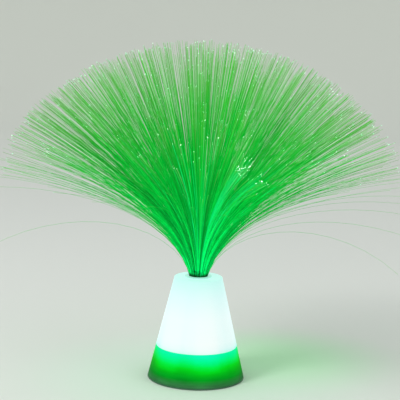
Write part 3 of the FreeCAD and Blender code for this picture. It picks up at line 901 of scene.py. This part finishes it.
def makeSpray(rng):
    # the order of the random draws decides where every fibre goes
    look = sprayLook
    locks, each = look["locks"], look["perLock"]
    total = locks * each
    index = np.arange(locks)
    lockShare = look["reach"] * np.sqrt((index + 0.5) / locks)
    lockAngle = np.radians(index * look["lockTurn"]) + rng.normal(0, look["lockTurnScatter"], locks)
    lockGlow = rng.lognormal(*sprayLight["lock"], locks)
    lockLength = 1 - abs(rng.normal(0, look["lengthScatter"], locks))

    # where each fibre leans, across the spray
    tight = np.repeat(rng.uniform(*look["lockWidth"], locks), each)
    width = np.where(rng.random(total) < look["loose"], look["looseWidth"], tight)
    u = np.repeat(lockShare * np.cos(lockAngle), each) + rng.normal(0, 1, total) * width
    v = np.repeat(lockShare * np.sin(lockAngle), each) + rng.normal(0, 1, total) * width
    lean = np.hypot(u, v)
    angle = np.arctan2(v, u)
    outer = lean > look["edge"]
    inwards = outer & (rng.random(total) < look["edgeInwards"])
    lean = np.where(inwards, rng.uniform(look["inwardsFrom"], look["edge"], total), lean)
    lean += np.where(outer & ~inwards, abs(rng.normal(0, look["edgeScatter"], total)), 0)
    lean = np.where(lean > look["farthest"], rng.uniform(look["backFrom"], look["edge"], total), lean)

    # lengths, paths and light
    scatter = 1 - abs(rng.normal(0, look["lengthScatter"], total))
    length = look["length"] * np.repeat(lockLength, each) * scatter
    short = rng.random(total) < look["shortFibres"]
    length = np.where(short, length * rng.uniform(*look["shortLengths"], total), length)
    root = bundleRadius * np.clip(lean + rng.normal(0, look["rootWidth"], total), look["rootLeast"], 1)
    paths, along = fibrePaths(root, angle, lean, look["droop"] * lean, length)
    tone = rng.random(total)
    lockLight = np.repeat(lockGlow * brightLocks(lockShare, lockAngle), each)
    glow = lockLight * rng.lognormal(*sprayLight["fibre"], total)
    glow = np.minimum(glow * throatStreaks(lean, angle), sprayLight["most"])
    thickness = look["thickness"] * rng.uniform(*look["thicknessRange"], total)

    group = np.digitize(np.repeat(index, each) / locks, look["groups"])
    for k, part in enumerate(("inner", "middle", "outer")):
        rows = group == k
        piece = tubeMesh("fibres_" + part, paths[rows], along, thickness[rows], tone[rows], glow[rows])
        finishFibres(piece, "fibre_strands_" + part)


bunchLook = {
    # bunches in front of the rest: angle, share of the lean, fibres, spread, light
    "bunches": ((-79.5, 1.0, 30, 0.019, 2.9), (-77.5, 1.0, 12, 0.022, 2.6), (-74.5, 1.07, 12, 0.022, 2.5),
                (-138, 0.99, 12, 0.016, 2.0), (-94, 0.9, 7, 0.035, 2.3), (-86, 0.86, 6, 0.03, 2.3),
                (-101, 0.84, 7, 0.05, 2.3), (-107, 0.95, 4, 0.014, 2.1), (-114, 0.9, 3, 0.012, 2.1),
                (-121, 1.0, 3, 0.012, 2.1), (-97, 0.99, 3, 0.012, 2.2), (-90, 0.8, 3, 0.012, 2.2),
                (-68, 0.97, 4, 0.012, 2.3), (-63, 0.9, 4, 0.01, 2.2), (-57, 1.0, 4, 0.012, 2.2),
                (-50, 0.95, 4, 0.012, 2.1), (176, 0.95, 26, 0.06, 0.9), (2, 0.98, 16, 0.06, 0.9)),
    "lengths": (0.95, 1.0),
    "light": (-0.06, 0.42),  # middle and spread, as a logarithm
    "thicker": 1.05,
}


def makeBunches(rng):
    look = bunchLook
    rows = []
    for towards, reach, count, spread, power in look["bunches"]:
        for _ in range(count):
            u = reach * math.cos(math.radians(towards)) + rng.normal(0, spread)
            v = reach * math.sin(math.radians(towards)) + rng.normal(0, spread)
            part = rng.uniform(*look["lengths"])
            light = power * rng.lognormal(*look["light"])
            rows.append((math.atan2(v, u), math.hypot(u, v), part, light, rng.random()))
    angle, lean, part, glow, tone = np.array(rows).T
    root = bundleRadius * np.clip(lean, 0, 1)
    paths, along = fibrePaths(root, angle, lean, sprayLook["droop"] * lean, sprayLook["length"] * part)
    thickness = np.full(len(rows), sprayLook["thickness"] * look["thicker"])
    piece = tubeMesh("fibres_bunches", paths, along, thickness, tone, glow)
    finishFibres(piece, "fibre_strands_outer")


strayLook = {
    # angle round the axis, lean against an outermost fibre, droop in degrees, share of the length
    "placed": ((186, 1.38, 34, 0.96), (192, 1.14, 10, 1.0), (176, 1.20, 16, 0.96), (184, 1.1, 12, 1.0),
               (170, 1.16, 8, 1.0), (356, 1.34, 24, 0.95), (2, 1.26, 20, 0.98), (8, 1.20, 16, 1.0),
               (352, 1.16, 22, 1.0), (346, 1.38, 48, 0.92), (4, 1.12, 12, 1.0), (12, 1.16, 9, 1.0),
               (358, 1.08, 8, 1.0), (350, 1.1, 6, 1.0)),
    "skirt": 130,  # more loose fibres all round, just under the spray's edge
    "skirtLean": 0.2,  # how far past an outermost fibre they reach
    "skirtNearer": 1.6,  # above 1, most of them stay close to the edge
    "skirtDroop": (2.0, 13.0),
    "skirtLengths": (0.92, 1.0),
    "roots": (0.9, 1.0),  # of the bundle's radius
    "thickness": 0.22 * mm,
    "mostTone": 0.8,
    "light": (0.6, 1.2),
}


def makeStrays():
    look = strayLook
    rng = np.random.default_rng(sprayLook["seed"] + 1)
    rows = [(math.radians(a), lean, droop, part) for a, lean, droop, part in look["placed"]]
    for i in range(look["skirt"]):
        turn = (i + rng.random()) * 2 * math.pi / look["skirt"]
        lean = 1 + look["skirtLean"] * rng.random() ** look["skirtNearer"]
        rows.append((turn, lean, rng.uniform(*look["skirtDroop"]), rng.uniform(*look["skirtLengths"])))
    angle, lean, droop, part = np.array(rows).T
    count = len(rows)
    root = bundleRadius * rng.uniform(*look["roots"], count)
    paths, along = fibrePaths(root, angle, lean, droop, sprayLook["length"] * part)
    tone = look["mostTone"] * rng.random(count)
    glow = rng.uniform(*look["light"], count)
    piece = tubeMesh("fibres_stray", paths, along, np.full(count, look["thickness"]), tone, glow)
    finishFibres(piece, "fibre_strands_stray")


def finishFibres(piece, node):
    for material in fibreFinishes:
        piece.data.materials.append(material)
    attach(piece, "spray")
    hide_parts(node)


# floor, backdrop and lights


sweepLook = {
    # metres
    "flatRings": (0.01, 0.5, 1.4),
    "floorReach": 2.3,  # flat from the middle out
    "bend": 1.0,  # radius of the turn up into the wall
    "bendSteps": 14,
    "wallTop": 1.4,
    "steps": 96,
    "floor": (0.68, 0.71, 0.68),
    "wall": (0.705, 0.74, 0.685),
    "wallFrom": (0.7, 3.4),
    "litFloor": (0.66, 0.76, 0.69),  # painted green glow, close round the lamp
    "litFrom": (0.19, 0.06),
    "litShade": (0.50, 0.78, 0.53),  # painted shade and green light in its shadow, as if the fibres lit it
    "shadeMiddle": (0.08, 0.07, 0),
    "shadeFrom": (0.135, 0.01),
}


def makeSweep():
    # round floor that turns up into a low wall, so that it looks the same from all sides
    look = sweepLook
    reach, bend = look["floorReach"], look["bend"]
    outline = [(radius, 0.0) for radius in look["flatRings"]]
    outline += arcPoints((reach, bend), bend, -90, 0, look["bendSteps"])
    sweep = lathe("sweep", outline + [(reach + bend, look["wallTop"])], look["steps"], closed=False)
    material, tree, shader = newMaterial("paperSweep", rough=0.9, specular=0.05)
    place = objectPlace(tree)
    away = vectorMath(tree, "LENGTH", place)["Value"]
    shade = vectorMath(tree, "DISTANCE", place, look["shadeMiddle"])["Value"]
    paperAndPaintedLight = mixColor(tree, share(tree, away, *look["wallFrom"], True), look["floor"], look["wall"])
    # painted green glow on the floor round the lamp's foot
    paperAndPaintedLight = mixColor(tree, share(tree, away, *look["litFrom"], True), paperAndPaintedLight, look["litFloor"])
    # painted shadow patch behind the lamp to the right, lit green
    paperAndPaintedLight = mixColor(tree, share(tree, shade, *look["shadeFrom"], True), paperAndPaintedLight, look["litShade"])
    feed(tree, shader, "color", paperAndPaintedLight)
    sweep.data.materials.append(material)


studio = {
    "worldPower": 0.82,
    "key": {
        "place": (-0.9, -0.75, 1.15),
        "aim": (0, 0, 0.12),
        "size": 0.4,
        "power": 10.0,
        "color": (1, 0.99, 0.97),
    },
    "fill": {
        "place": (1.2, -0.9, 1.0),
        "aim": (0, 0, 0.15),
        "size": 1.2,
        "power": 3.0,
        "color": (0.97, 1, 0.99),
    },
}


def areaLamp(name, look):
    data = bpy.data.lights.new(name, "AREA")
    data.size = look["size"]
    data.energy = look["power"]
    data.color = look["color"]
    lamp = bpy.data.objects.new(name, data)
    bpy.context.scene.collection.objects.link(lamp)
    lamp.visible_camera = False
    lamp.location = look["place"]
    towards = Vector(look["aim"]) - Vector(look["place"])
    lamp.rotation_euler = towards.to_track_quat("-Z", "Y").to_euler()


def makeStudio():
    makeSweep()
    world = bpy.data.worlds.new("studio")
    bpy.context.scene.world = world
    world.use_nodes = True
    background = world.node_tree.nodes["Background"]
    background.inputs["Color"].default_value = (1, 1, 1, 1)
    background.inputs["Strength"].default_value = studio["worldPower"]
    areaLamp("key", studio["key"])
    areaLamp("fill", studio["fill"])


makeCamera()
coneSize = coneSizes()
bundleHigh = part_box("fibre_bundle")[1]
sprayRoot = bundleHigh.z
bundleRadius = bundleHigh.x - sprayLook["bundleEdge"]
print("camera and sizes set")

makeStudio()
print("studio made")

dressInside()
dressFerrule()
dressBundle()
makeDiffuser()
makeBand()
makeScrews()
print("cone and inner pieces dressed")

fibreFinishes = [litFibre(), tipFinish("cutEnd"), tipFinish("glowingEnd")]
sprayRandom = np.random.default_rng(sprayLook["seed"])
makeSpray(sprayRandom)
makeBunches(sprayRandom)
makeStrays()
print("spray made")

bpy.context.scene.view_settings.view_transform = "Standard"
